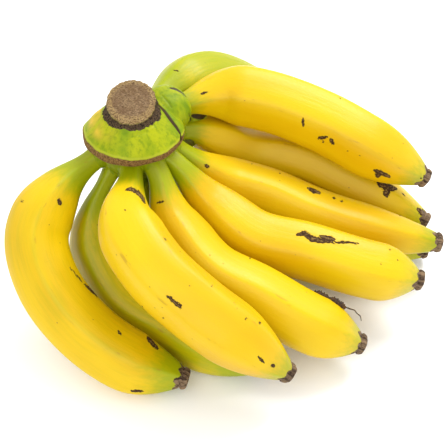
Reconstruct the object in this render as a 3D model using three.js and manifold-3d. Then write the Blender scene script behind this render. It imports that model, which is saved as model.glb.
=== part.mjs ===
// A hand of bananas lying on its lower fingers: a cut crown with twelve fingers grown from it.
// Millimetres, +Z up. The hand lies on Z = 0 and the origin is under the middle of its box.
// The places below are measured from a point nearby, and toGeometry moves the shapes to the origin.
import * as THREE from "three";
import { mergeVertices } from "three/addons/utils/BufferGeometryUtils.js";
import Module from "manifold-3d";

// Each finger's spine runs from its root inside the crown to its dry flower end, by way of points
// chosen by hand. Girth is the thickness at the belly. Collar is how much of the spine's length
// belongs to the crown. Shoulder is where its stalk starts to swell and where it has its full girth.
// Taper is the length over which it thins to its flower end.
// The upper row lies on the lower row, and both fan round the crown.
const UPPER_ROW = [
  {
    name: "banana_01",
    girth: 36,
    collar: 16,
    shoulder: [12, 58],
    taper: 34,
    spine: [
      [-62, -33, 92], [-73, -40, 88], [-91, -54, 78], [-103, -73, 62],
      [-96, -95, 46], [-76, -114, 29], [-50, -127, 17], [-19, -135, 12],
    ],
  },
  {
    name: "banana_02",
    girth: 37,
    collar: 17,
    shoulder: [12, 58],
    taper: 42,
    spine: [
      [-53, -38, 94], [-51, -54, 89], [-52, -82, 82], [-37, -108, 73],
      [-14, -125, 60], [10, -136, 46], [36, -142, 25],
    ],
  },
  {
    name: "banana_03",
    girth: 34,
    collar: 18,
    shoulder: [12, 64],
    taper: 26,
    spine: [
      [-46, -37, 94], [-37, -49, 88], [-28, -67, 66], [-8, -90, 51],
      [18, -101, 43], [46, -111, 31], [78, -116, 18],
    ],
  },
  {
    name: "banana_04",
    girth: 34,
    collar: 18,
    shoulder: [14, 72],
    taper: 24,
    spine: [
      [-42, -32, 94], [-26, -41, 85], [-8, -48, 64], [16, -62, 50],
      [48, -69, 45], [76, -75, 39], [114, -78, 30],
    ],
  },
  {
    name: "banana_05",
    girth: 30,
    collar: 20,
    shoulder: [14, 65],
    taper: 52,
    spine: [
      [-39, -24, 94], [-21, -27, 79], [4, -22, 56], [27, -25, 49],
      [56, -36, 42], [90, -43, 35], [130, -44, 26],
    ],
  },
  {
    name: "banana_06",
    girth: 37,
    collar: 24,
    shoulder: [18, 64],
    taper: 42,
    spine: [
      [-42, -14, 96], [-23, 1, 96], [0, 14, 93], [24, 13, 90],
      [58, 3, 82], [87, -10, 72], [122, -17, 53],
    ],
  },
];
const LOWER_ROW = [
  {
    name: "banana_07",
    girth: 32,
    collar: 16,
    shoulder: [20, 62],
    taper: 42,
    spine: [
      [-58, -32, 86], [-64, -41, 79], [-73, -51, 62], [-73, -62, 42],
      [-58, -82, 22], [-30, -99, 15], [-3, -118, 15], [22, -126, 12],
    ],
  },
  {
    name: "banana_08",
    girth: 28,
    collar: 20,
    shoulder: [20, 64],
    taper: 42,
    spine: [
      [-50, -32, 84], [-48, -44, 72], [-39, -52, 44], [-15, -63, 21],
      [14, -72, 15], [40, -80, 12],
    ],
  },
  {
    name: "banana_09",
    girth: 28,
    collar: 20,
    shoulder: [20, 64],
    taper: 42,
    spine: [
      [-44, -26, 82], [-35, -32, 66], [-11, -35, 33], [18, -38, 16],
      [46, -44, 14], [68, -50, 12],
    ],
  },
  {
    name: "banana_10",
    girth: 25,
    collar: 20,
    shoulder: [20, 64],
    taper: 42,
    spine: [
      [-44, -18, 80], [-31, -16, 61], [-1, -7, 28], [42, -11, 15],
      [80, -21, 12], [104, -31, 11], [126, -32, 9],
    ],
  },
  {
    name: "banana_11",
    girth: 30,
    collar: 24,
    shoulder: [12, 56],
    taper: 42,
    spine: [
      [-40, -14, 84], [-18, 2, 75], [15, 12, 52], [47, 8, 48],
      [80, -4, 38], [125, -25, 24],
    ],
  },
  {
    name: "banana_12",
    girth: 34,
    collar: 26,
    shoulder: [16, 56],
    taper: 42,
    spine: [
      [-48, -10, 92], [-35, 19, 89], [-12, 45, 82], [11, 58, 64],
      [30, 67, 40], [49, 71, 21], [70, 70, 13], [94, 65, 12],
    ],
  },
];

// A finger's section along its spine.
const NECK_RADIUS = 5.8; // the stalk of a finger
const SLIM_NECK = "banana_07"; // this finger hangs on a slimmer stalk
const SLIM_NECK_RADIUS = 4.4;
const ROOT_FLARE = 4; // what the stalk gains where it joins the crown
const FLARE_LENGTH = 8;
const TAPER_POWER = 0.9;
const BELLY_SWELL = 0.06; // how much thinner the belly's ends are than its middle
const RIDGES = 5; // a banana is softly five sided
const RIDGE_SHARE = 0.025;

// The dry flower end.
const CAP_RADIUS = 5.8;
const CAP_LENGTH = 4;
const CAP_LIP = 0.4;
const PIT_RADIUS = 2.2;
const PIT_DEPTH = 1.4;

const FINGER_SIDES = 15;
const BODY_STEP = 12; // between rings along the belly
const SEAM = 0.3; // clear gap between the crown's collars and the fingers
const SURFACE = 0; // the height of the surface that the hand lies on
const BOX_MIDDLE = [5.2, -32.5]; // where the middle of the hand's box is, before the move

// The crown: the cut stub of the stalk on a cushion that the fingers grow from.
const CROWN_AXIS = [-50, -32];
const CROWN_PROFILE = [
  // radius, height
  [0, 76], [9, 77], [15, 80], [18.5, 86], [20, 93], [21.5, 96.4], [25, 98.8], [27.8, 100.4],
  [28.5, 102.6], [28.2, 105], [26.8, 107.4], [22.5, 112], [18.4, 115.4], [16.2, 117.4],
  [14.4, 119.4], [13.6, 121.6], [13.4, 130], [0, 130],
];
const CROWN_SIDES = 40;
const CUT_HEIGHT = 124.5; // the middle of the cut face
const CUT_TILT = 16; // degrees, lower at the front
const HUMPS = [
  { centre: [-34, -20, 100], radii: [14, 13, 12.5] }, // over the far fingers' stalks
  { centre: [-47, -14, 91], radii: [13, 12, 14] }, // at the back, over the roots of the far stalks
];
const HUMP_SIDES = [20, 12];

const SKIN = { roughness: 0.42, metalness: 0 };
const YELLOW = new THREE.MeshStandardMaterial({ color: 0xf0cf12, ...SKIN });
const GREENISH = new THREE.MeshStandardMaterial({ color: 0xc9c81c, ...SKIN });
const LIME = new THREE.MeshStandardMaterial({ color: 0xa6bb1c, roughness: 0.5, metalness: 0 });

const wasm = await Module();
wasm.setup();

function toSolid(geometry) {
  const bare = geometry.clone();
  bare.deleteAttribute("normal");
  bare.deleteAttribute("uv");
  const merged = mergeVertices(bare, 1e-3);
  const mesh = new wasm.Mesh({
    numProp: 3,
    vertProperties: new Float32Array(merged.attributes.position.array),
    triVerts: new Uint32Array(merged.index.array),
  });
  return new wasm.Manifold(mesh);
}

function toGeometry(solid) {
  const mesh = solid.getMesh();
  const geometry = new THREE.BufferGeometry();
  geometry.setAttribute("position", new THREE.BufferAttribute(mesh.vertProperties, 3));
  geometry.setIndex(new THREE.BufferAttribute(mesh.triVerts, 1));
  geometry.translate(-BOX_MIDDLE[0], -BOX_MIDDLE[1], 0);
  geometry.computeVertexNormals();
  return geometry;
}

function smoothstep(from, to, value) {
  const share = Math.min(1, Math.max(0, (value - from) / (to - from)));
  return share * share * (3 - 2 * share);
}

// A finger's spine as a curve, with its length and the direction that its section is drawn from:
// square to the plane through its root, its middle and its end.
function spineOf(finger) {
  const points = finger.spine.map((place) => new THREE.Vector3(...place));
  const curve = new THREE.CatmullRomCurve3(points, false, "centripetal");
  curve.arcLengthDivisions = 400;
  const root = points[0];
  const middle = curve.getPointAt(0.5).sub(root);
  const end = points[points.length - 1].clone().sub(root);
  return { curve, length: curve.getLength(), side: middle.cross(end).normalize() };
}

function bellyRadius(finger, length, along) {
  const full = finger.girth / 2;
  const [swellStart, swellEnd] = finger.shoulder;
  const middle = (swellEnd + length - finger.taper) / 2;
  const offMiddle = (along - middle) / middle;
  const belly = full * (1 - BELLY_SWELL * offMiddle * offMiddle);
  const flare = ROOT_FLARE * Math.exp(-along / FLARE_LENGTH);
  const neck = (finger.name === SLIM_NECK ? SLIM_NECK_RADIUS : NECK_RADIUS) + flare;
  const swollen = neck + (belly - neck) * smoothstep(swellStart, swellEnd, along);
  const left = Math.min(1, Math.max(0, (length - CAP_LENGTH - along) / finger.taper));
  const taper = Math.sin((left * Math.PI) / 2) ** TAPER_POWER;
  return CAP_RADIUS + (swollen - CAP_RADIUS) * (left < 1 ? taper : 1);
}

// Where the rings of a finger lie along its spine, closer together where the shape changes.
function ringPlaces(finger, start, length) {
  const [swellStart, swellEnd] = finger.shoulder;
  const taperStart = length - CAP_LENGTH - finger.taper;
  const count = Math.max(1, Math.round((taperStart - swellEnd) / BODY_STEP));
  const shoulder = [];
  for (const share of [0.2, 0.38, 0.56, 0.76, 1])
    shoulder.push(swellStart + (swellEnd - swellStart) * share);
  const places = [start, ...shoulder.filter((place) => place > start + 3)];
  for (let step = 1; step <= count; step += 1)
    places.push(swellEnd + ((taperStart - swellEnd) * step) / count);
  for (const share of [0.24, 0.46, 0.64, 0.79, 0.91])
    places.push(taperStart + share * finger.taper);
  return places;
}

// The stretch of a finger from start to its end, or to stop where that is given: a turned profile
// bent along the spine, with soft ridges.
function fingerGeometry(finger, start, stop) {
  const { curve, length, side } = spineOf(finger);
  const profile = [new THREE.Vector2(0, start)];
  const places = stop ? [start, (start + stop) / 2, stop] : ringPlaces(finger, start, length);
  for (const along of places)
    profile.push(new THREE.Vector2(bellyRadius(finger, length, along), along));
  if (stop) {
    profile.push(new THREE.Vector2(0, stop));
  } else {
    profile.push(new THREE.Vector2(CAP_RADIUS, length - CAP_LENGTH));
    profile.push(new THREE.Vector2(CAP_RADIUS + CAP_LIP, length - CAP_LENGTH + 1));
    profile.push(new THREE.Vector2(CAP_RADIUS - CAP_LIP, length));
    profile.push(new THREE.Vector2(PIT_RADIUS, length - PIT_DEPTH / 3));
    profile.push(new THREE.Vector2(0, length - PIT_DEPTH));
  }
  const geometry = new THREE.LatheGeometry(profile, FINGER_SIDES);
  const positions = geometry.attributes.position;
  for (let index = 0; index < positions.count; index += 1) {
    const local = new THREE.Vector3().fromBufferAttribute(positions, index);
    const share = THREE.MathUtils.clamp(local.y / length, 0, 1);
    const centre = curve.getPointAt(share);
    const tangent = curve.getTangentAt(share);
    const across = side.clone().addScaledVector(tangent, -side.dot(tangent)).normalize();
    const over = new THREE.Vector3().crossVectors(across, tangent);
    const ridge = 1 + RIDGE_SHARE * Math.cos(RIDGES * Math.atan2(local.z, local.x));
    centre.addScaledVector(across, local.x * ridge).addScaledVector(over, local.z * ridge);
    positions.setXYZ(index, centre.x, centre.y, centre.z);
  }
  return geometry;
}

// A half space as a large block, below the given height before it is tilted about X.
function blockAbove(height, tiltDegrees, [x, y]) {
  const size = 400;
  const block = new THREE.BoxGeometry(size, size, size);
  block.translate(0, 0, size / 2);
  block.rotateX(THREE.MathUtils.degToRad(tiltDegrees));
  block.translate(x, y, height);
  return toSolid(block);
}

function makeFinger(finger, material) {
  const whole = toSolid(fingerGeometry(finger, finger.collar + SEAM));
  const rested = whole.intersect(blockAbove(SURFACE, 0, [0, 0]));
  const mesh = new THREE.Mesh(toGeometry(rested), material);
  mesh.name = finger.name;
  return mesh;
}

function makeCrown(fingers) {
  const outline = CROWN_PROFILE.map(([radius, height]) => new THREE.Vector2(radius, height));
  const turned = new THREE.LatheGeometry(outline, CROWN_SIDES);
  turned.rotateX(Math.PI / 2);
  turned.translate(CROWN_AXIS[0], CROWN_AXIS[1], 0);
  const stub = toSolid(turned).subtract(blockAbove(CUT_HEIGHT, CUT_TILT, CROWN_AXIS));
  let solid = stub;
  for (const { centre, radii } of HUMPS) {
    const hump = new THREE.SphereGeometry(1, ...HUMP_SIDES);
    hump.scale(...radii);
    hump.translate(...centre);
    solid = solid.add(toSolid(hump));
  }
  for (const finger of fingers)
    solid = solid.add(toSolid(fingerGeometry(finger, 0, finger.collar)));
  const mesh = new THREE.Mesh(toGeometry(solid), LIME);
  mesh.name = "crown";
  return mesh;
}

const hand = new THREE.Group();
const fingers = [...UPPER_ROW, ...LOWER_ROW];
hand.add(makeCrown(fingers));
for (const finger of UPPER_ROW) hand.add(makeFinger(finger, YELLOW));
for (const finger of LOWER_ROW) hand.add(makeFinger(finger, GREENISH));

export default hand;
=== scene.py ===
"""A hand of bananas on a pale surface: twelve fingers grown from one cut crown.

Lengths are written in millimetres and turned to metres where a mesh is made. The frame's origin lies
on the surface under the middle of the hand's box, +Z up. Pixel places are in a 447 x 447 picture.
"""

import math

import bpy
import numpy as np
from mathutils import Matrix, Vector


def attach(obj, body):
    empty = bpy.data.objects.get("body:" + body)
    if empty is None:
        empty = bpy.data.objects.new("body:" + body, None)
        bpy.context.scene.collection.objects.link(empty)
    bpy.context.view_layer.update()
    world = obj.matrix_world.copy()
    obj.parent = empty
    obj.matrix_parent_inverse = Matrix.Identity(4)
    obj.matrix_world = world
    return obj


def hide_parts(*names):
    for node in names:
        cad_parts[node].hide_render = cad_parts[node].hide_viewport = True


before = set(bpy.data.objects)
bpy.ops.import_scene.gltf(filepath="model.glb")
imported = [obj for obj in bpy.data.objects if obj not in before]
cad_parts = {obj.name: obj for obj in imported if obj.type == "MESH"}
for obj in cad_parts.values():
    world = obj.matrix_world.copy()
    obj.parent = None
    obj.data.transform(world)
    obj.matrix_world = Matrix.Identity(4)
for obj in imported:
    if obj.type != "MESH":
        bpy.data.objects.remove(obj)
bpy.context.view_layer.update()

MM = 0.001
BOX_MIDDLE = np.array([5.2, -32.5, 0.0])  # the spines are measured from a point nearby

# Each finger: girth at the belly, the stretch of its spine that belongs to the crown, where its stalk
# swells, the length over which it thins to its end, how ripe its skin is from 0 green to 1 yellow, and
# its spine.
FINGERS = {
    "banana_01": dict(slot="skin_ripe", girth=36, collar=16, shoulder=(12, 58), taper=34, ripe=0.68, spine=[
        (-62, -33, 92), (-73, -40, 88), (-91, -54, 78), (-103, -73, 62),
        (-96, -95, 46), (-76, -114, 29), (-50, -127, 17), (-19, -135, 12)]),
    "banana_02": dict(slot="skin_ripe", girth=37, collar=17, shoulder=(12, 58), taper=42, ripe=1.0, spine=[
        (-53, -38, 94), (-51, -54, 89), (-52, -82, 82), (-37, -108, 73),
        (-14, -125, 60), (10, -136, 46), (36, -142, 25)]),
    "banana_03": dict(slot="skin_ripe", girth=34, collar=18, shoulder=(12, 64), taper=26, ripe=1.0, spine=[
        (-46, -37, 94), (-37, -49, 88), (-28, -67, 66), (-8, -90, 51),
        (18, -101, 43), (46, -111, 31), (78, -116, 18)]),
    "banana_04": dict(slot="skin_ripe", girth=34, collar=18, shoulder=(14, 72), taper=24, ripe=1.0, spine=[
        (-42, -32, 94), (-26, -41, 85), (-8, -48, 64), (16, -62, 50),
        (48, -69, 45), (76, -75, 39), (114, -78, 30)]),
    "banana_05": dict(slot="skin_ripe", girth=30, collar=20, shoulder=(14, 65), taper=52, ripe=0.95, spine=[
        (-39, -24, 94), (-21, -27, 79), (4, -22, 56), (27, -25, 49),
        (56, -36, 42), (90, -43, 35), (130, -44, 26)]),
    "banana_06": dict(slot="skin_ripe", girth=37, collar=24, shoulder=(18, 64), taper=42, ripe=0.95, spine=[
        (-42, -14, 96), (-23, 1, 96), (0, 14, 93), (24, 13, 90),
        (58, 3, 82), (87, -10, 72), (122, -17, 53)]),
    "banana_07": dict(slot="skin_turning", girth=32, collar=16, shoulder=(20, 62), taper=42, ripe=0.35, spine=[
        (-58, -32, 86), (-64, -41, 79), (-73, -51, 62), (-73, -62, 42),
        (-58, -82, 22), (-30, -99, 15), (-3, -118, 15), (22, -126, 12)]),
    "banana_08": dict(slot="skin_turning", girth=28, collar=20, shoulder=(20, 64), taper=42, ripe=0.8, spine=[
        (-50, -32, 84), (-48, -44, 72), (-39, -52, 44), (-15, -63, 21),
        (14, -72, 15), (40, -80, 12)]),
    "banana_09": dict(slot="skin_turning", girth=28, collar=20, shoulder=(20, 64), taper=42, ripe=0.8, spine=[
        (-44, -26, 82), (-35, -32, 66), (-11, -35, 33), (18, -38, 16),
        (46, -44, 14), (68, -50, 12)]),
    "banana_10": dict(slot="skin_turning", girth=25, collar=20, shoulder=(20, 64), taper=42, ripe=0.85, spine=[
        (-44, -18, 80), (-31, -16, 61), (-1, -7, 28), (42, -11, 15),
        (80, -21, 12), (104, -31, 11), (126, -32, 9)]),
    "banana_11": dict(slot="skin_ripe", girth=30, collar=24, shoulder=(12, 56), taper=42, ripe=0.95, spine=[
        (-40, -14, 84), (-18, 2, 75), (15, 12, 52), (47, 8, 48),
        (80, -4, 38), (125, -25, 24)]),
    "banana_12": dict(slot="skin_turning", girth=34, collar=26, shoulder=(16, 56), taper=42, ripe=0.1, spine=[
        (-48, -10, 92), (-35, 19, 89), (-12, 45, 82), (11, 58, 64),
        (30, 67, 40), (49, 71, 21), (70, 70, 13), (94, 65, 12)]),
}

# A finger's section along its spine.
NECK_RADIUS = 5.8
SLIM_NECK = "banana_07"  # this finger hangs on a slimmer stalk
SLIM_NECK_RADIUS = 4.4
ROOT_FLARE = 4.0
FLARE_LENGTH = 8.0
TAPER_POWER = 0.9
BELLY_SWELL = 0.06
RIDGES = 5
RIDGE_SHARE = 0.025
SKIN_RIDGE_SHARE = 0.034
RIDGE_CREST = 0.02  # the narrow crest on each ridge
CREST_POWER = 10
CAP_RADIUS = 5.8
CAP_LENGTH = 4.0
SKIN_INSET = 0.975  # keeps neighbouring skins clear of each other
END_PROFILE = [  # beyond the cap's start, and the share of the cap's radius: lip, then pit
    (0.1, 0.93), (0.5, 0.98), (1.2, 1.05), (2.0, 1.03), (2.9, 0.97), (3.5, 0.90), (3.8, 0.80),
    (3.7, 0.68), (3.4, 0.55), (3.1, 0.42), (2.7, 0.30), (2.1, 0.20), (1.6, 0.08)]
HUSK_REACH = 4.0  # the most that the dry brown of the cap runs back over the skin
FINGER_ROOT = 8.0  # where a finger's own skin starts, hidden inside the crown
SECTORS = 108
RING_STEP = 0.85

# The crown.
CROWN_AXIS = np.array([-50.0, -32.0])
CROWN_PROFILE = [  # radius, height
    (0, 76), (9, 77), (15, 80), (18.5, 86), (20, 93), (21.5, 96.4), (25, 98.8), (27.6, 100.2),
    (28.3, 101.2), (28.4, 104.6), (27.9, 105.6), (26.6, 107.2), (22.5, 111.4), (18.4, 115),
    (16.2, 117), (14.8, 118.6), (14.1, 120.4), (13.7, 122), (13.5, 130), (0, 130)]
CUT_HEIGHT = 124.5
CUT_TILT = 16.0
RIM_START = 15.0  # the cushion beyond this radius shrinks away round the back
RIM_BACK_SHARE = 0.15
RIM_TURN = 50.0  # degrees behind the side ends over which it shrinks
SCAR_WIDEST = math.radians(208)  # the turn at which the brown scar round the cushion is widest
# The last two humps, the tissue between the far fingers' stalks, are darkened by painted shade from the fold lines
# below.
HUMPS = [  # centres and radii of the crown's humps, and of the tissue between the far fingers' stalks
    ((-33, -16, 105), (15, 15, 13)), ((-47, -14.5, 92), (14, 12.5, 15)),
    ((-22, 8, 84), (13, 8, 7)), ((-30, -4, 73), (14, 8, 7))]
CROWN_VOXEL = 0.55
CROWN_SMOOTHING = 5

# The camera looks along +Y and down, at the picture's viewing angle.
VIEW_ELEVATION = math.radians(44.0)
VIEW_DISTANCE = 690.0
LENS = 86.3
SENSOR = 36.0
PICTURE = 447
CAMERA_TARGET = np.array([0.0, 0.0, 0.0]) - BOX_MIDDLE

# Brown marks on the skins that the picture shows, and lines of painted shade in gaps between fingers:
# the line of each, its half width and its strength, in pixels of the picture. Each lands on its own finger only.
MARKS_AND_SHADE_LINES = {
    "banana_01": [
        ([(22, 201)], 1.6, 0.8), ([(59, 199), (60, 205)], 1.7, 1.0), ([(68, 265), (84, 284)], 0.8, 0.7),
        ([(84, 284), (100, 298)], 1.3, 1.0), ([(93, 319)], 1.2, 0.6), ([(118, 331), (121, 335)], 1.3, 0.8),
        ([(147, 337), (153, 344), (158, 349)], 2.0, 1.0), ([(131, 391), (143, 391)], 1.4, 0.9),
        ([(110, 300)], 0.8, 0.6), ([(47, 262)], 0.9, 0.6)],
    "banana_02": [
        ([(126, 190), (131, 189), (137, 192), (142, 197), (145, 203)], 2.0, 1.0), ([(125, 210)], 1.2, 0.7),
        ([(163, 238), (167, 241)], 1.0, 0.7), ([(167, 296), (174, 302), (182, 308)], 1.9, 1.0),
        ([(142, 307)], 1.1, 0.7), ([(163, 318)], 1.3, 0.6), ([(212, 286)], 1.3, 0.7), ([(235, 303)], 1.5, 0.6),
        ([(238, 308)], 1.2, 0.6), ([(246, 319)], 1.5, 0.7), ([(260, 323)], 1.3, 0.8),
        ([(258, 357), (264, 362)], 1.4, 0.9), ([(273, 366)], 1.8, 1.0), ([(180, 252)], 0.8, 0.6)],
    "banana_03": [
        ([(157, 203), (164, 201)], 1.1, 0.9), ([(250, 258)], 0.9, 0.7), ([(307, 292)], 0.9, 0.6),
        ([(290, 296)], 0.8, 0.5)],
    "banana_04": [
        ([(297, 235), (304, 233), (312, 239), (326, 241), (334, 240)], 2.6, 1.0),
        ([(320, 236), (335, 239)], 1.8, 1.0), ([(330, 243), (345, 242), (359, 244)], 1.2, 0.9),
        ([(390, 250)], 1.2, 0.7), ([(398, 260)], 1.1, 0.7), ([(381, 264)], 1.2, 0.7), ([(372, 268)], 0.8, 0.5)],
    "banana_05": [
        ([(207, 166)], 2.0, 1.0), ([(252, 164)], 0.8, 0.7), ([(280, 173)], 0.9, 0.7),
        ([(308, 188), (314, 191), (320, 193)], 2.1, 1.0), ([(334, 198)], 1.3, 0.9), ([(342, 201)], 1.3, 0.9),
        ([(400, 215)], 1.1, 0.6), ([(436, 238), (441, 243)], 2.0, 0.9)],
    "banana_06": [
        ([(201, 94), (207, 92)], 1.2, 0.9), ([(303, 118), (303, 126)], 1.3, 1.0),
        ([(318, 138), (327, 137)], 1.5, 1.0), ([(330, 139), (334, 144)], 1.8, 1.0), ([(323, 142)], 1.0, 0.7),
        ([(348, 151)], 1.0, 0.7), ([(360, 156)], 1.0, 0.7), ([(374, 170), (381, 173), (390, 177)], 2.2, 1.0),
        ([(378, 175)], 2.4, 1.0), ([(421, 178)], 1.1, 0.7), ([(340, 98)], 0.9, 0.6)],
    "banana_11": [
        ([(378, 183), (386, 187), (396, 189)], 3.2, 1.0), ([(386, 190), (387, 196)], 3.2, 1.0),
        ([(418, 209), (424, 214), (428, 217)], 3.0, 1.0), ([(402, 193), (405, 196)], 0.9, 0.7)],
    "banana_12": [([(173, 70), (179, 71)], 0.9, 0.8), ([(205, 63)], 0.8, 0.5)],
    # banana_07: painted shade in its gap beside banana_01, then a dark line along its lower edge by the floor.
    "banana_07": [([(78, 203), (74, 213), (71, 224)], 1.6, 1.0), ([(190, 379), (205, 382), (228, 381)], 1.8, 1.0)],
    # banana_10: painted shade in the gap between banana_04 and banana_05.
    "banana_10": [([(398, 244), (412, 247), (425, 250)], 1.2, 1.0)],
}
# The crown's folds, from the foot of the stub down to the end of the scar and beyond, darkened with painted
# shade; the last two lines are painted shade in the gaps between the far fingers' stalks.
CREASE_SHADE_LINES = [
    ([(158, 104), (165, 111), (171, 119), (177, 127), (181, 134)], 1.4, 1.0),
    ([(181, 134), (182, 141), (186, 149), (193, 157), (203, 166)], 1.2, 0.8),
    ([(189, 113), (191, 122), (187, 133)], 0.8, 0.7),
    ([(162, 95), (168, 102), (172, 108)], 0.9, 0.5),
    ([(170, 87), (177, 88), (184, 92), (188, 97)], 1.3, 0.9),
    ([(193, 116), (214, 117)], 4.0, 1.0),
    ([(186, 140), (204, 146)], 7.0, 0.62),
]
# A dried flower that clings to banana_03's far edge: places and half widths in millimetres.
DRIED_FLOWER = [
    ((50, -98, 43), 0.7), ((52, -99, 42.5), 1.9), ((55.5, -100.5, 41.5), 1.6), ((58.5, -101.5, 40.5), 1.2),
    ((62, -103, 39.5), 1.9), ((65, -104, 38), 1.6), ((67, -105.5, 37), 0.9)]
FLOWER_THREAD = [
    ((65, -104.5, 38), 0.45), ((69, -106, 37.5), 0.4), ((72, -106.5, 36.5), 0.35),
    ((73, -108, 36), 0.3), ((75, -109, 34.5), 0.3), ((75.5, -111, 33), 0.2)]
FLOWER_FLATNESS = 0.45
END_WIDTH = 0.4  # how wide a mark's line is at its ends, as a share of its middle
HIDDEN_MARKS = 6  # small marks scattered on each finger where the picture doesn't look

generator = np.random.default_rng(12)


def smoothstep(start, end, value):
    share = np.clip((value - start) / (end - start), 0, 1)
    return share * share * (3 - 2 * share)


def centripetal(points, steps=60):
    """A centripetal Catmull-Rom curve through the points, as dense samples."""
    points = [np.array(point, float) for point in points]
    first = 2 * points[0] - points[1]
    last = 2 * points[-1] - points[-2]
    points = [first] + points + [last]
    samples = []
    for a, b, c, d in zip(points, points[1:], points[2:], points[3:]):
        spans = [math.sqrt(np.linalg.norm(q - p)) for p, q in ((a, b), (b, c), (c, d))]
        leave = (b - a) / spans[0] - (c - a) / (spans[0] + spans[1]) + (c - b) / spans[1]
        arrive = (c - b) / spans[1] - (d - b) / (spans[1] + spans[2]) + (d - c) / spans[2]
        leave = leave * spans[1]
        arrive = arrive * spans[1]
        for u in np.linspace(0, 1, steps, endpoint=False):
            samples.append(
                (2 * u**3 - 3 * u**2 + 1) * b
                + (u**3 - 2 * u**2 + u) * leave
                + (3 * u**2 - 2 * u**3) * c
                + (u**3 - u**2) * arrive)
    samples.append(points[-2])
    return np.array(samples)


class Spine:
    """A finger's spine, with its length and the direction that its section is drawn from."""

    def __init__(self, points):
        self.samples = centripetal(points) - BOX_MIDDLE
        steps = np.linalg.norm(np.diff(self.samples, axis=0), axis=1)
        self.places = np.concatenate([[0], np.cumsum(steps)])
        self.length = self.places[-1]
        root = self.samples[0]
        middle = self.at(np.array([self.length / 2]))[0] - root
        side = np.cross(middle, self.samples[-1] - root)
        self.side = side / np.linalg.norm(side)

    def at(self, along):
        return np.stack([np.interp(along, self.places, self.samples[:, k]) for k in range(3)], -1)

    def frames(self, along):
        """Centres and the two directions of the section at each place."""
        along = np.clip(along, 0, self.length)
        reach = 1.5
        ahead = self.at(np.minimum(along + reach, self.length))
        behind = self.at(np.maximum(along - reach, 0))
        tangent = ahead - behind
        tangent /= np.linalg.norm(tangent, axis=1, keepdims=True)
        across = self.side - tangent * (tangent @ self.side)[:, None]
        across /= np.linalg.norm(across, axis=1, keepdims=True)
        over = np.cross(tangent, across)
        return self.at(along), across, over


def belly_radius(finger, length, along):
    full = finger["girth"] / 2
    stalk = SLIM_NECK_RADIUS if finger is FINGERS[SLIM_NECK] else NECK_RADIUS
    swell_start, swell_end = finger["shoulder"]
    middle = (swell_end + length - finger["taper"]) / 2
    belly = full * (1 - BELLY_SWELL * ((along - middle) / middle) ** 2)
    neck = stalk + ROOT_FLARE * np.exp(-along / FLARE_LENGTH)
    swollen = neck + (belly - neck) * smoothstep(swell_start, swell_end, along)
    left = np.clip((length - CAP_LENGTH - along) / finger["taper"], 0, 1)
    taper = np.where(left < 1, np.sin(left * math.pi / 2) ** TAPER_POWER, 1)
    return CAP_RADIUS + (swollen - CAP_RADIUS) * taper


def mesh_object(name, vertices, faces, material):
    mesh = bpy.data.meshes.new(name)
    mesh.from_pydata((np.asarray(vertices) * MM).tolist(), [], faces)
    mesh.materials.append(material)
    mesh.shade_smooth()
    piece = bpy.data.objects.new(name, mesh)
    bpy.context.scene.collection.objects.link(piece)
    return piece


def grid_faces(rings, sectors):
    """Quads between successive rings, with a fan to a pole before the first and after the last."""
    faces = []
    for ring in range(rings - 1):
        for sector in range(sectors):
            following = (sector + 1) % sectors
            near, far = ring * sectors, (ring + 1) * sectors
            faces.append((near + sector, near + following, far + following, far + sector))
    first_pole, last_pole = rings * sectors, rings * sectors + 1
    last_ring = (rings - 1) * sectors
    for sector in range(sectors):
        following = (sector + 1) % sectors
        faces.append((first_pole, following, sector))
        faces.append((last_pole, last_ring + sector, last_ring + following))
    return faces


def store(mesh, name, values):
    """A value for each vertex, for the materials to read."""
    values = np.asarray(values, np.float32)
    kind = "FLOAT_VECTOR" if values.ndim == 2 else "FLOAT"
    attribute = mesh.attributes.new(name, kind, "POINT")
    attribute.data.foreach_set("vector" if values.ndim == 2 else "value", values.ravel())


def in_picture(points):
    """Where points in millimetres show in the picture, in pixels."""
    forward = np.array([0, math.cos(VIEW_ELEVATION), -math.sin(VIEW_ELEVATION)])
    upward = np.array([0, math.sin(VIEW_ELEVATION), math.cos(VIEW_ELEVATION)])
    away = points - (CAMERA_TARGET - VIEW_DISTANCE * forward)
    depth = away @ forward
    focal = PICTURE * LENS / SENSOR
    return np.stack([PICTURE / 2 + focal * away[:, 0] / depth,
                     PICTURE / 2 - focal * (away @ upward) / depth], -1)


def line_distance(points, line):
    """How far each point in the picture is from a line of one or more places, in shares of its width.

    The line is full in its middle and thins towards both ends.
    """
    line = np.array(line, float)
    if len(line) == 1:
        return np.linalg.norm(points - line[0], axis=1)
    nearest = np.full(len(points), np.inf)
    pieces = len(line) - 1
    for index, (start, end) in enumerate(zip(line, line[1:])):
        step = end - start
        share = np.clip((points - start) @ step / (step @ step), 0, 1)
        width = END_WIDTH + (1 - END_WIDTH) * np.sin(math.pi * (index + share) / pieces) ** 0.6
        distance = np.linalg.norm(points - start - share[:, None] * step, axis=1)
        nearest = np.minimum(nearest, distance / width)
    return nearest


def vertex_data(mesh, name):
    values = np.empty(len(mesh.vertices) * 3)
    mesh.vertices.foreach_get(name, values)
    return values.reshape(-1, 3)


def facing(mesh):
    """From 1 for a vertex that faces the picture's camera to -1 for one that faces away."""
    toward = np.array([0, -math.cos(VIEW_ELEVATION), math.sin(VIEW_ELEVATION)])
    return vertex_data(mesh, "normal") @ toward


def drawn_marks(mesh, lines):
    """The strength of the drawn lines at each vertex."""
    places = in_picture(vertex_data(mesh, "co") / MM)
    seen = smoothstep(0.0, 0.15, facing(mesh))
    strength = np.zeros(len(places))
    for line, half_width, depth in lines:
        reach = 1 - smoothstep(0.3, 1.9, line_distance(places, line) / half_width)
        strength = np.maximum(strength, depth * reach * seen)
    return strength


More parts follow.
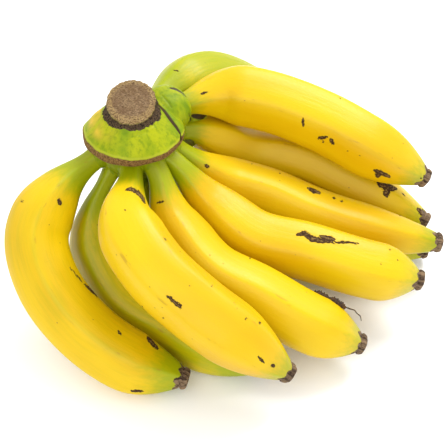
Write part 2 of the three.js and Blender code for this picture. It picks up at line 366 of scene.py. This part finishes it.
def scattered_marks(along, turn, radius, length, hidden):
    """Short strokes along the finger at random places, where the picture doesn't look."""
    strength = np.zeros(len(along))
    for _ in range(HIDDEN_MARKS):
        place, angle = generator.uniform(50, length - 20), generator.uniform(0, 2 * math.pi)
        stroke, half_width = generator.uniform(0.5, 5), generator.uniform(0.5, 1.2)
        across = (np.mod(turn - angle + math.pi, 2 * math.pi) - math.pi) * radius
        beyond = np.maximum(np.abs(along - place) - stroke, 0)
        distance = np.hypot(beyond, across) / half_width
        strength = np.maximum(strength, 1 - smoothstep(0.3, 1.9, distance))
    return strength * hidden


def finger_profile(finger, length):
    """Places along the spine and radii there, from inside the crown to the pit of the dry end."""
    cap_start = length - CAP_LENGTH
    count = int((cap_start - FINGER_ROOT) / RING_STEP)
    along = np.linspace(FINGER_ROOT, cap_start - 0.3, count)
    radii = belly_radius(finger, length, along) * SKIN_INSET
    end = [(cap_start + beyond, share * CAP_RADIUS) for beyond, share in END_PROFILE]
    return np.concatenate([along, [a for a, _ in end]]), np.concatenate([radii, [r for _, r in end]])


def make_finger(name, finger, material):
    spine = Spine(finger["spine"])
    length = spine.length
    along, radii = finger_profile(finger, length)
    turn = np.linspace(0, 2 * math.pi, SECTORS, endpoint=False)
    places, turns = np.meshgrid(along, turn, indexing="ij")
    crest = (0.5 + 0.5 * np.cos(RIDGES * turns)) ** CREST_POWER
    shape = SKIN_RIDGE_SHARE * np.cos(RIDGES * turns) + RIDGE_CREST * crest * smoothstep(24, 44, places)
    phase = generator.uniform(0, 6, 4)
    dents = (np.sin(places / 19 + phase[0]) * np.cos(2 * turns + phase[1])
             + 0.6 * np.sin(places / 9 + phase[2]) * np.cos(3 * turns + phase[3]))
    shape = shape - 0.004 * (dents + 1.6) * smoothstep(30, 70, places)
    cap = smoothstep(length - CAP_LENGTH - 0.4, length - CAP_LENGTH + 0.6, places)
    ragged = np.zeros_like(shape)
    for wave in range(3, 14, 2):
        ragged += np.sin(wave * turns + generator.uniform(0, 6)) / wave**0.5
    shape = shape + 0.022 * cap * ragged
    radius = radii[:, None] * (1 + shape)
    centres, across, over = spine.frames(along)
    vertices = (centres[:, None] + across[:, None] * (radius * np.cos(turns))[..., None]
                + over[:, None] * (radius * np.sin(turns))[..., None])
    vertices = vertices.reshape(-1, 3)
    vertices = np.vstack([vertices, centres[0], centres[-1]])
    vertices[:, 2] = np.maximum(vertices[:, 2], 0)
    piece = mesh_object(name + "_skin", vertices, grid_faces(len(along), SECTORS), material)

    flat_along = np.append(places.ravel(), [along[0], along[-1]])
    flat_turn = np.append(turns.ravel(), [0, 0])
    flat_radius = np.append(radius.ravel(), [0, 0])
    straight = np.stack([flat_radius * np.cos(flat_turn), flat_radius * np.sin(flat_turn), flat_along], -1)
    seed = generator.uniform(0, 900)
    store(piece.data, "straight", straight + [seed, 0, 0])
    neck_green = 1 - smoothstep(16, 46, flat_along)
    tip_green = smoothstep(length - 30, length - 5, flat_along)
    unripe = 1 - finger["ripe"]
    store(piece.data, "green", np.clip(neck_green + 0.65 * tip_green + 0.85 * unripe, 0, 1))
    reach = HUSK_REACH * (0.5 + 0.5 * np.sin(2 * flat_turn + phase[0]) * np.sin(5 * flat_turn + phase[1]))
    husk_start = length - CAP_LENGTH - reach
    store(piece.data, "dry", smoothstep(husk_start - 0.8, husk_start + 0.8, flat_along))
    pit = smoothstep(length - 1.0, length - 2.3, flat_along) * (flat_radius < 0.75 * CAP_RADIUS)
    store(piece.data, "pit", pit * (flat_along > length - CAP_LENGTH))
    store(piece.data, "ridge", np.append(crest.ravel(), [0, 0]))
    hidden = 1 - smoothstep(-0.3, 0.0, facing(piece.data))
    mark_and_shade = drawn_marks(piece.data, MARKS_AND_SHADE_LINES.get(name, []))
    scattered = scattered_marks(flat_along, flat_turn, flat_radius, length, hidden)
    store(piece.data, "mark_and_shade", np.maximum(mark_and_shade, scattered))
    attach(piece, "root")
    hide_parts(name)
    return piece


def closed_surface(rings, start, end):
    """Vertices and faces of a closed surface from equal rings and two poles."""
    rings = np.asarray(rings)
    vertices = np.vstack([rings.reshape(-1, 3), start, end])
    return vertices, grid_faces(len(rings), rings.shape[1])


def turned_stub():
    turn = np.linspace(0, 2 * math.pi, 96, endpoint=False)
    rings = []
    for radius, height in CROWN_PROFILE[1:-1]:
        ring = np.stack([radius * np.cos(turn), radius * np.sin(turn), np.full(96, float(height))], -1)
        rings.append(ring)
    rings = np.array(rings)
    behind = np.minimum(np.degrees(turn), 180 - np.degrees(turn))
    share = 1 - (1 - RIM_BACK_SHARE) * smoothstep(0, RIM_TURN, behind)
    size = np.hypot(rings[..., 0], rings[..., 1])
    wanted = np.where(size > RIM_START, RIM_START + (size - RIM_START) * share, size)
    rings[..., :2] *= (wanted / size)[..., None]
    limit = CUT_HEIGHT + rings[..., 1] * math.tan(math.radians(CUT_TILT))
    rings[..., 2] = np.minimum(rings[..., 2], limit)
    bottom = np.array([0, 0, CROWN_PROFILE[0][1]])
    top = np.array([0, 0, CUT_HEIGHT])
    vertices, faces = closed_surface(rings, bottom, top)
    return vertices + [CROWN_AXIS[0], CROWN_AXIS[1], 0] - BOX_MIDDLE, faces


def ellipsoid(centre, radii):
    turn = np.linspace(0, 2 * math.pi, 48, endpoint=False)
    rings = []
    for height in np.linspace(-math.pi / 2, math.pi / 2, 26)[1:-1]:
        flat = math.cos(height)
        rings.append(np.stack([flat * np.cos(turn), flat * np.sin(turn), np.full(48, math.sin(height))], -1))
    vertices, faces = closed_surface(rings, [0, 0, -1], [0, 0, 1])
    return vertices * radii + np.array(centre) - BOX_MIDDLE, faces


def collar(finger):
    """The stretch of a finger's stalk that the crown holds. It dives under the finger's own skin."""
    spine = Spine(finger["spine"])
    along = np.linspace(0.5, finger["collar"] + 2, 14)
    radii = belly_radius(finger, spine.length, along) * SKIN_INSET
    radii = radii + 0.5 - 1.3 * smoothstep(finger["collar"] - 8, finger["collar"] + 2, along)
    centres, across, over = spine.frames(along)
    turn = np.linspace(0, 2 * math.pi, 40, endpoint=False)
    ridge = 1 + RIDGE_SHARE * np.cos(RIDGES * turn)
    rings = [centre + radius * (np.outer(np.cos(turn) * ridge, a) + np.outer(np.sin(turn) * ridge, o))
             for centre, radius, a, o in zip(centres, radii, across, over)]
    return closed_surface(rings, centres[0], centres[-1])


def make_crown(material):
    vertices, faces = [], []
    parts = [turned_stub()]
    parts += [ellipsoid(centre, radii) for centre, radii in HUMPS]
    parts += [collar(finger) for finger in FINGERS.values()]
    for part_vertices, part_faces in parts:
        first = len(vertices)
        vertices.extend(part_vertices)
        faces.extend([tuple(index + first for index in face) for face in part_faces])
    piece = mesh_object("crown_skin", vertices, faces, material)
    remesh = piece.modifiers.new("blend", "REMESH")
    remesh.mode = "VOXEL"
    remesh.voxel_size = CROWN_VOXEL * MM
    smooth = piece.modifiers.new("soften", "SMOOTH")
    smooth.factor = 0.5
    smooth.iterations = CROWN_SMOOTHING
    depsgraph = bpy.context.evaluated_depsgraph_get()
    blended = bpy.data.meshes.new_from_object(piece.evaluated_get(depsgraph))
    piece.modifiers.clear()
    piece.data = blended
    blended.name = "crown_skin"
    blended.shade_smooth()
    press_creases(blended)
    finish_crown(piece)
    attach(piece, "root")
    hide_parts("crown")
    return piece


def lumps(points, size, waves=9):
    """A smooth random height from -1 to 1 at each point, with lumps about as large as size."""
    height = np.zeros(len(points))
    for _ in range(waves):
        direction = generator.normal(size=3)
        direction *= 2 * math.pi / size / np.linalg.norm(direction)
        height += np.sin(points @ direction + generator.uniform(0, 6))
    return np.tanh(height / math.sqrt(waves))


def press_creases(mesh):
    """Sinks the crown's folds into its surface, makes it uneven and its cut face fibrous, and stores the fold mask
    for painted shade.
    """
    points = vertex_data(mesh, "co") / MM
    crease_shade = drawn_marks(mesh, CREASE_SHADE_LINES)
    middle_y = CROWN_AXIS[1] - BOX_MIDDLE[1]
    below_cut = CUT_HEIGHT + (points[:, 1] - middle_y) * math.tan(math.radians(CUT_TILT)) - points[:, 2]
    on_cut = 1 - smoothstep(0.5, 1.1, below_cut)
    charred = 1 - smoothstep(4.5, 6.5, below_cut)
    depth = 0.9 * crease_shade + 0.3 * lumps(points, 14) * (1 - on_cut)
    depth += 0.25 * (1 + lumps(points, 3.2)) * np.maximum(on_cut, charred) + 0.2 * (1 + lumps(points, 1.7)) * on_cut
    points -= vertex_data(mesh, "normal") * depth[:, None]
    mesh.vertices.foreach_set("co", (points * MM).ravel())
    mesh.update()
    store(mesh, "crease_shade", crease_shade)


def finish_crown(piece):
    """Masks for the crown's material: the cut face, the charred edge below it and the brown scar."""
    mesh = piece.data
    points = vertex_data(mesh, "co") / MM + BOX_MIDDLE
    x, y = points[:, 0] - CROWN_AXIS[0], points[:, 1] - CROWN_AXIS[1]
    radius = np.hypot(x, y)
    turn = np.arctan2(y, x)
    below_cut = CUT_HEIGHT + y * math.tan(math.radians(CUT_TILT)) - points[:, 2]
    wander = 0.5 * np.sin(7 * turn + 1) + 0.35 * np.sin(17 * turn) + 0.2 * np.sin(41 * turn)
    cut = 1 - smoothstep(1.4, 2.2, below_cut)
    on_stub = 1 - smoothstep(16.2, 17.2, radius + 0.5 * wander)
    edge = (1 - smoothstep(6.2, 7.4, below_cut + 0.8 * wander)) * on_stub
    edge = edge * (1 - cut)
    front = smoothstep(-0.35, 0.1, -np.sin(turn + 0.1))
    left_front = smoothstep(0.2, 0.95, np.cos(turn - SCAR_WIDEST))
    top = 101.5 + 2.8 * front + 1.2 * left_front + 0.25 * wander
    scar = smoothstep(24.0, 25.4, radius) * smoothstep(98.8, 99.8, points[:, 2])
    scar = scar * (1 - smoothstep(top, top + 0.8, points[:, 2]))
    left = smoothstep(-0.1, 0.9, np.cos(turn - 0.9 * math.pi)) * smoothstep(102, 106, points[:, 2])
    store(mesh, "aged", left * smoothstep(16, 18, radius) * (1 - smoothstep(22, 26, radius)))
    store(mesh, "low", smoothstep(101, 96, points[:, 2]) * smoothstep(15, 24, radius))
    pale = np.exp(-((points[:, 2] - top - 1.0) / 0.5) ** 2) * smoothstep(0.3, 0.8, front)
    store(mesh, "pale_rim", pale * smoothstep(23, 24.5, radius))
    store(mesh, "cut", cut)
    store(mesh, "torn_rim", smoothstep(8.5, 12.5, radius) * cut)
    store(mesh, "edge", edge)
    store(mesh, "scar", scar * smoothstep(0.0, 0.15, front))
    store(mesh, "straight", points)


def strand(stations, ragged):
    """A closed, flattened and ragged tube through places with half widths."""
    spine = Spine([place for place, _ in stations])
    along = np.linspace(0, spine.length, int(spine.length / 0.35))
    knots = np.linspace(0, spine.length, len(stations))
    widths = np.interp(along, knots, [width for _, width in stations])
    turn = np.linspace(0, 2 * math.pi, 14, endpoint=False)
    centres, across, over = spine.frames(along)
    rings = []
    shred = 1.0
    for centre, width, a, o in zip(centres, widths, across, over):
        shred = 0.6 * shred + 0.4 * generator.uniform(1 - 2 * ragged, 1 + 2 * ragged)
        torn = shred * (1 + ragged * np.sin(2 * turn + 1)) + 0.2 * ragged * generator.normal(size=len(turn))
        rings.append(centre + width * (FLOWER_FLATNESS * np.outer(np.cos(turn) * torn, a)
                                       + np.outer(np.sin(turn) * torn, o)))
    return closed_surface(rings, centres[0], centres[-1])


def make_dried_flower(material):
    vertices, faces = strand(DRIED_FLOWER, 0.45)
    thread_vertices, thread_faces = strand(FLOWER_THREAD, 0.1)
    faces += [tuple(index + len(vertices) for index in face) for face in thread_faces]
    vertices = np.vstack([vertices, thread_vertices])
    piece = mesh_object("dried_flower", vertices, faces, material)
    store(piece.data, "straight", vertices)
    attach(piece, "root")
    return piece


class Nodes:
    """Short ways to add shader nodes to one material."""

    def __init__(self, name):
        self.material = bpy.data.materials.new(name)
        self.material.use_nodes = True
        self.tree = self.material.node_tree
        self.shader = self.tree.nodes["Principled BSDF"]

    def add(self, kind, inputs=None, **settings):
        node = self.tree.nodes.new(kind)
        for key, value in settings.items():
            setattr(node, key, value)
        for key, value in (inputs or {}).items():
            self.feed(value, node.inputs[key])
        return node

    def feed(self, value, socket):
        if isinstance(value, bpy.types.NodeSocket):
            self.tree.links.new(value, socket)
        else:
            socket.default_value = value

    def attribute(self, name):
        return self.add("ShaderNodeAttribute", attribute_name=name).outputs["Fac"]

    def place(self):
        return self.add("ShaderNodeAttribute", attribute_name="straight").outputs["Vector"]

    def stretched(self, scale):
        return self.add("ShaderNodeMapping", {"Vector": self.place(), "Scale": scale}).outputs["Vector"]

    def noise(self, vector, scale, detail=3.0, roughness=0.55):
        inputs = {"Vector": vector, "Scale": scale, "Detail": detail, "Roughness": roughness}
        return self.add("ShaderNodeTexNoise", inputs).outputs["Fac"]

    def steps(self, value, low, high, low_to=0.0, high_to=1.0):
        inputs = {"Value": value, "From Min": low, "From Max": high, "To Min": low_to, "To Max": high_to}
        return self.add("ShaderNodeMapRange", inputs, interpolation_type="SMOOTHSTEP").outputs["Result"]

    def maths(self, operation, first, second):
        node = self.add("ShaderNodeMath", operation=operation)
        self.feed(first, node.inputs[0])
        self.feed(second, node.inputs[1])
        return node.outputs["Value"]

    def mix(self, share, first, second):
        node = self.add("ShaderNodeMix", data_type="RGBA")
        self.feed(share, node.inputs["Factor"])
        self.feed(first, node.inputs[6])
        self.feed(second, node.inputs[7])
        return node.outputs[2]

    def bump(self, height, strength, distance, before=None):
        inputs = {"Height": height, "Strength": strength, "Distance": distance}
        if before is not None:
            inputs["Normal"] = before
        return self.add("ShaderNodeBump", inputs).outputs["Normal"]


def colour(red, green, blue):
    """A linear colour from values out of 255 as the eye reads them."""
    return tuple((value / 255) ** 2.2 for value in (red, green, blue)) + (1.0,)


def skin_material(name, ripe, deep, green):
    nodes = Nodes(name)
    cloud = nodes.noise(nodes.stretched((0.03, 0.03, 0.012)), 1.0, 2.0)
    streak = nodes.noise(nodes.stretched((0.55, 0.55, 0.05)), 1.0, 3.0)
    grain = nodes.noise(nodes.stretched((1.6, 1.6, 0.8)), 1.0, 2.0)
    yellow = nodes.mix(nodes.steps(cloud, 0.35, 0.7), ripe, deep)
    yellow = nodes.mix(nodes.steps(streak, 0.45, 0.8, 0.0, 0.25), yellow, deep)
    ridge = nodes.steps(nodes.attribute("ridge"), 0.2, 1.0, 0.0, 0.45)
    greenness = nodes.maths("ADD", nodes.attribute("green"), nodes.steps(cloud, 0.3, 0.7, -0.12, 0.12))
    greenness = nodes.maths("ADD", greenness, nodes.steps(streak, 0.3, 0.7, -0.08, 0.08))
    edge_green = nodes.maths("MULTIPLY", ridge, greenness)
    skin = nodes.mix(nodes.steps(greenness, 0.15, 0.95), yellow, green)
    skin = nodes.mix(edge_green, skin, colour(150, 165, 15))
    brown = colour(92, 62, 24)
    flecks = nodes.add("ShaderNodeTexVoronoi", {"Vector": nodes.stretched((0.22, 0.22, 0.16)), "Scale": 1.0})
    near = nodes.steps(flecks.outputs["Distance"], 0.10, 0.03)
    chance = nodes.add("ShaderNodeSeparateColor", {"Color": flecks.outputs["Color"]}).outputs["Red"]
    some = nodes.maths("GREATER_THAN", chance, 0.86)
    fleck = nodes.maths("MULTIPLY", nodes.maths("MULTIPLY", near, some), 0.75)
    skin = nodes.mix(fleck, skin, brown)
    scuffs = nodes.noise(nodes.stretched((0.35, 0.35, 0.1)), 1.0, 3.0)
    scuff = nodes.maths("MULTIPLY", nodes.steps(nodes.attribute("ridge"), 0.3, 0.9), nodes.steps(scuffs, 0.6, 0.72, 0.0, 0.5))
    skin = nodes.mix(scuff, skin, colour(158, 118, 34))
    torn = nodes.steps(nodes.noise(nodes.stretched((0.9, 0.9, 0.5)), 1.0, 4.0, 0.7), 0.3, 0.7, -0.3, 0.3)
    mark_and_shade = nodes.steps(nodes.maths("ADD", nodes.attribute("mark_and_shade"), torn), 0.35, 0.62)
    mark_and_shade = nodes.maths("MULTIPLY", mark_and_shade, nodes.steps(nodes.attribute("mark_and_shade"), 0.0, 0.25))
    core = nodes.maths("MULTIPLY", nodes.steps(nodes.attribute("mark_and_shade"), 0.8, 1.0), nodes.steps(torn, -0.05, 0.2))
    # Brown marks, with painted shade where the drawn lines lie in gaps between fingers.
    skin = nodes.mix(mark_and_shade, skin, nodes.mix(core, colour(58, 38, 18), colour(128, 102, 58)))
    husk = nodes.mix(nodes.steps(streak, 0.35, 0.65), colour(52, 38, 28), colour(126, 104, 80))
    husk = nodes.mix(nodes.attribute("pit"), husk, colour(38, 26, 18))
    dry = nodes.maths("ADD", nodes.attribute("dry"), nodes.steps(torn, -0.3, 0.3, -0.2, 0.2))
    dry = nodes.steps(dry, 0.4, 0.6)
    skin = nodes.mix(dry, skin, husk)
    nodes.feed(skin, nodes.shader.inputs["Base Color"])
    rough = nodes.steps(nodes.maths("MAXIMUM", mark_and_shade, dry), 0.0, 1.0, 0.38, 0.85)
    nodes.feed(nodes.maths("ADD", rough, nodes.steps(grain, 0.3, 0.7, -0.04, 0.05)),
               nodes.shader.inputs["Roughness"])
    relief = nodes.bump(grain, 0.16, 0.0004)
    relief = nodes.bump(streak, 0.25, 0.0006, relief)
    relief = nodes.bump(nodes.maths("MAXIMUM", mark_and_shade, fleck), 0.35, 0.0004, relief)
    nodes.feed(relief, nodes.shader.inputs["Normal"])
    nodes.shader.inputs["Subsurface Weight"].default_value = 0.08
    nodes.shader.inputs["Subsurface Radius"].default_value = (0.006, 0.004, 0.001)
    nodes.shader.inputs["Specular IOR Level"].default_value = 0.26
    return nodes.material


def crown_material():
    nodes = Nodes("crown_skin")
    cloud = nodes.noise(nodes.stretched((0.09, 0.09, 0.03)), 1.0, 2.0)
    streak = nodes.noise(nodes.stretched((0.5, 0.5, 0.06)), 1.0, 3.0)
    grain = nodes.noise(nodes.stretched((1.3, 1.3, 1.3)), 1.0, 3.0)
    fibre = nodes.noise(nodes.stretched((0.9, 2.1, 0.9)), 1.0, 5.0, 0.7)
    patch_grain = nodes.noise(nodes.stretched((0.22, 0.22, 0.22)), 1.0, 2.0)
    lime = nodes.mix(nodes.steps(cloud, 0.3, 0.7), colour(154, 160, 8), colour(112, 134, 6))
    lime = nodes.mix(nodes.steps(streak, 0.42, 0.75, 0.0, 0.6), lime, colour(84, 112, 6))
    lime = nodes.mix(nodes.attribute("pale_rim"), lime, colour(158, 164, 40))
    skin = nodes.mix(nodes.steps(grain, 0.55, 0.9, 0.0, 0.5), lime, colour(104, 112, 16))
    stalk = nodes.mix(nodes.steps(streak, 0.3, 0.7), colour(146, 152, 8), colour(126, 142, 8))
    skin = nodes.mix(nodes.maths("MULTIPLY", nodes.attribute("low"), 0.85), skin, stalk)
    patch = nodes.maths("MULTIPLY", nodes.attribute("aged"), nodes.steps(cloud, 0.3, 0.6))
    skin = nodes.mix(patch, skin, colour(204, 168, 52))
    scar = nodes.mix(nodes.steps(grain, 0.35, 0.65), colour(84, 62, 36), colour(132, 102, 60))
    scar_share = nodes.maths("ADD", nodes.attribute("scar"), nodes.steps(grain, 0.3, 0.7, -0.25, 0.25))
    skin = nodes.mix(nodes.steps(scar_share, 0.4, 0.6), skin, scar)
    char = nodes.mix(nodes.steps(grain, 0.35, 0.65), colour(34, 28, 22), colour(84, 68, 50))
    char_share = nodes.maths("ADD", nodes.attribute("edge"), nodes.steps(grain, 0.3, 0.7, -0.25, 0.25))
    skin = nodes.mix(nodes.steps(char_share, 0.4, 0.6), skin, char)
    # Painted shade: dark brown in the folds and in the gaps between the far fingers' stalks.
    skin = nodes.mix(nodes.steps(nodes.attribute("crease_shade"), 0.3, 0.75), skin, colour(58, 46, 18))
    wood = nodes.mix(nodes.steps(fibre, 0.35, 0.65), colour(96, 74, 56), colour(168, 140, 104))
    wood = nodes.mix(nodes.steps(patch_grain, 0.4, 0.65, 0.0, 0.5), wood, colour(112, 84, 58))
    torn_rim = nodes.steps(nodes.attribute("torn_rim"), 0.2, 0.8, 0.0, 0.6)
    wood = nodes.mix(nodes.maths("MULTIPLY", torn_rim, nodes.steps(fibre, 0.4, 0.6)), wood, colour(196, 166, 108))
    skin = nodes.mix(nodes.attribute("cut"), skin, wood)
    nodes.feed(skin, nodes.shader.inputs["Base Color"])
    dry = nodes.maths("MAXIMUM", nodes.attribute("cut"), nodes.attribute("edge"))
    dry = nodes.maths("MAXIMUM", dry, nodes.attribute("scar"))
    nodes.feed(nodes.steps(dry, 0.0, 1.0, 0.48, 0.92), nodes.shader.inputs["Roughness"])
    relief = nodes.bump(grain, 0.3, 0.0006)
    relief = nodes.bump(nodes.maths("MULTIPLY", fibre, nodes.attribute("cut")), 0.9, 0.002, relief)
    nodes.feed(relief, nodes.shader.inputs["Normal"])
    nodes.shader.inputs["Subsurface Weight"].default_value = 0.08
    nodes.shader.inputs["Subsurface Radius"].default_value = (0.004, 0.005, 0.001)
    nodes.shader.inputs["Specular IOR Level"].default_value = 0.16
    return nodes.material


def husk_material():
    nodes = Nodes("dried_flower")
    grain = nodes.noise(nodes.stretched((0.9, 0.9, 0.9)), 1.0, 4.0)
    nodes.feed(nodes.mix(nodes.steps(grain, 0.35, 0.65), colour(30, 20, 12), colour(84, 58, 30)),
               nodes.shader.inputs["Base Color"])
    nodes.feed(nodes.steps(grain, 0.3, 0.7, 0.8, 0.95), nodes.shader.inputs["Roughness"])
    nodes.feed(nodes.bump(grain, 0.6, 0.0006), nodes.shader.inputs["Normal"])
    return nodes.material


def make_stage():
    bpy.ops.mesh.primitive_plane_add(size=6, location=(0, 0, 0))
    floor = bpy.context.object
    floor.name = "floor"
    nodes = Nodes("pale_surface")
    nodes.shader.inputs["Base Color"].default_value = (0.97, 0.97, 0.97, 1)
    nodes.shader.inputs["Roughness"].default_value = 0.7
    floor.data.materials.append(nodes.material)
    world = bpy.data.worlds.new("studio")
    world.use_nodes = True
    world.node_tree.nodes["Background"].inputs["Color"].default_value = (1, 1, 1, 1)
    world.node_tree.nodes["Background"].inputs["Strength"].default_value = 1.15
    bpy.context.scene.world = world
    soft_light("key", (0.4, 0.5, 1.05), 0.7, 12)
    soft_light("fill", (-0.2, -0.9, 0.75), 1.0, 4)


def soft_light(name, place, size, power):
    light = bpy.data.lights.new(name, "AREA")
    light.shape = "DISK"
    light.size = size
    light.energy = power
    lamp = bpy.data.objects.new(name, light)
    lamp.location = place
    lamp.rotation_euler = (-Vector(place)).to_track_quat("-Z", "Y").to_euler()
    bpy.context.scene.collection.objects.link(lamp)


def make_camera():
    data = bpy.data.cameras.new("camera")
    data.lens = LENS
    data.sensor_width = SENSOR
    camera = bpy.data.objects.new("camera", data)
    forward = Vector((0, math.cos(VIEW_ELEVATION), -math.sin(VIEW_ELEVATION)))
    camera.location = Vector(CAMERA_TARGET * MM) - forward * VIEW_DISTANCE * MM
    camera.rotation_euler = forward.to_track_quat("-Z", "Y").to_euler()
    bpy.context.scene.collection.objects.link(camera)
    bpy.context.scene.camera = camera


bpy.context.scene.view_settings.view_transform = "Standard"
SKINS = {
    "skin_ripe": skin_material("skin_ripe", colour(210, 176, 10), colour(202, 160, 4), colour(144, 152, 8)),
    "skin_turning": skin_material("skin_turning", colour(208, 182, 14), colour(198, 168, 6), colour(148, 156, 10)),
}
for finger_name, finger_facts in FINGERS.items():
    make_finger(finger_name, finger_facts, SKINS[finger_facts["slot"]])
make_crown(crown_material())
make_dried_flower(husk_material())
make_stage()
make_camera()
